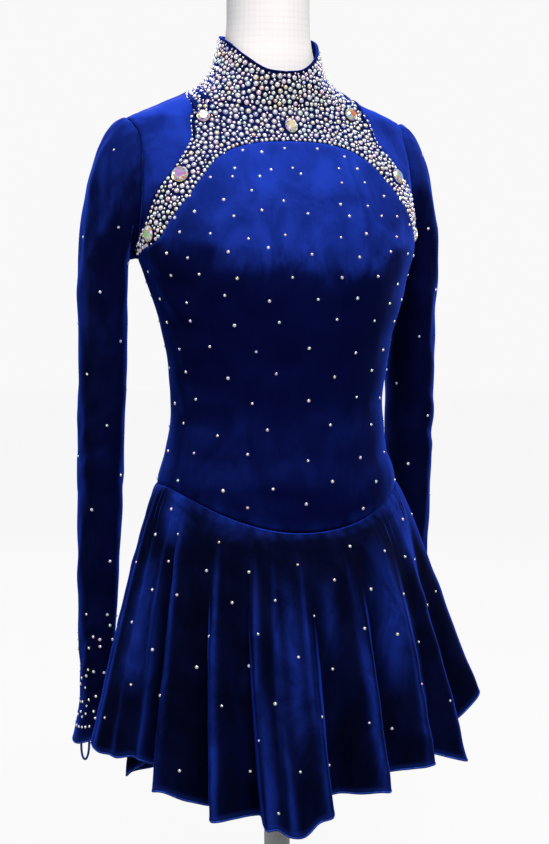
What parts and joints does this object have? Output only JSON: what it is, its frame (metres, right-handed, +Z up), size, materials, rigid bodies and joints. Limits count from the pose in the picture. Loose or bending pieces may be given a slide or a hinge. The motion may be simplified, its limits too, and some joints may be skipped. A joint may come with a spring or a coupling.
{
  "type": "figure skating dress on a dress form",
  "caption": "Long-sleeved stretch velvet skating dress with stand collar, crystal-covered yoke and full folded skirt, shown on a limbless dress form with a round base.",
  "frame": {"origin": "centre of the round base's underside, on the surface that the stand rests on", "axes": "+Z up; the figure faces -Y; the wearer's left arm is at +X"},
  "size_m": [0.4339, 0.4014, 1.006],
  "materials": {
    "velvet": "royal blue stretch velvet with a soft nap",
    "stoned_velvet": "blue velvet closely covered with small iridescent glass stones",
    "crystal": "large iridescent faceted glass stones",
    "button": "small domed blue buttons",
    "elastic": "thin round covered elastic",
    "form_cover": "white knitted jersey cover",
    "stand_paint": "white satin paint"
  },
  "bodies": {
    "root": {"bodice_front": "velvet", "shoulder_front_L": "velvet", "shoulder_front_R": "velvet", "back_L": "velvet", "back_R": "velvet", "sleeve_L": "velvet", "sleeve_R": "velvet", "skirt_front": "velvet", "skirt_back": "velvet", "yoke": "stoned_velvet", "collar": "stoned_velvet", "crystal_centre": "crystal", "crystal_neck_L": "crystal", "crystal_neck_R": "crystal", "crystal_chest_L": "crystal", "crystal_chest_R": "crystal", "crystal_side_L": "crystal", "crystal_side_R": "crystal", "back_button_1": "button", "back_button_2": "button", "back_button_3": "button", "finger_loop_L": "elastic", "finger_loop_R": "elastic", "form_torso": "form_cover", "form_post": "stand_paint", "form_base": "stand_paint"}
  },
  "joints": []
}
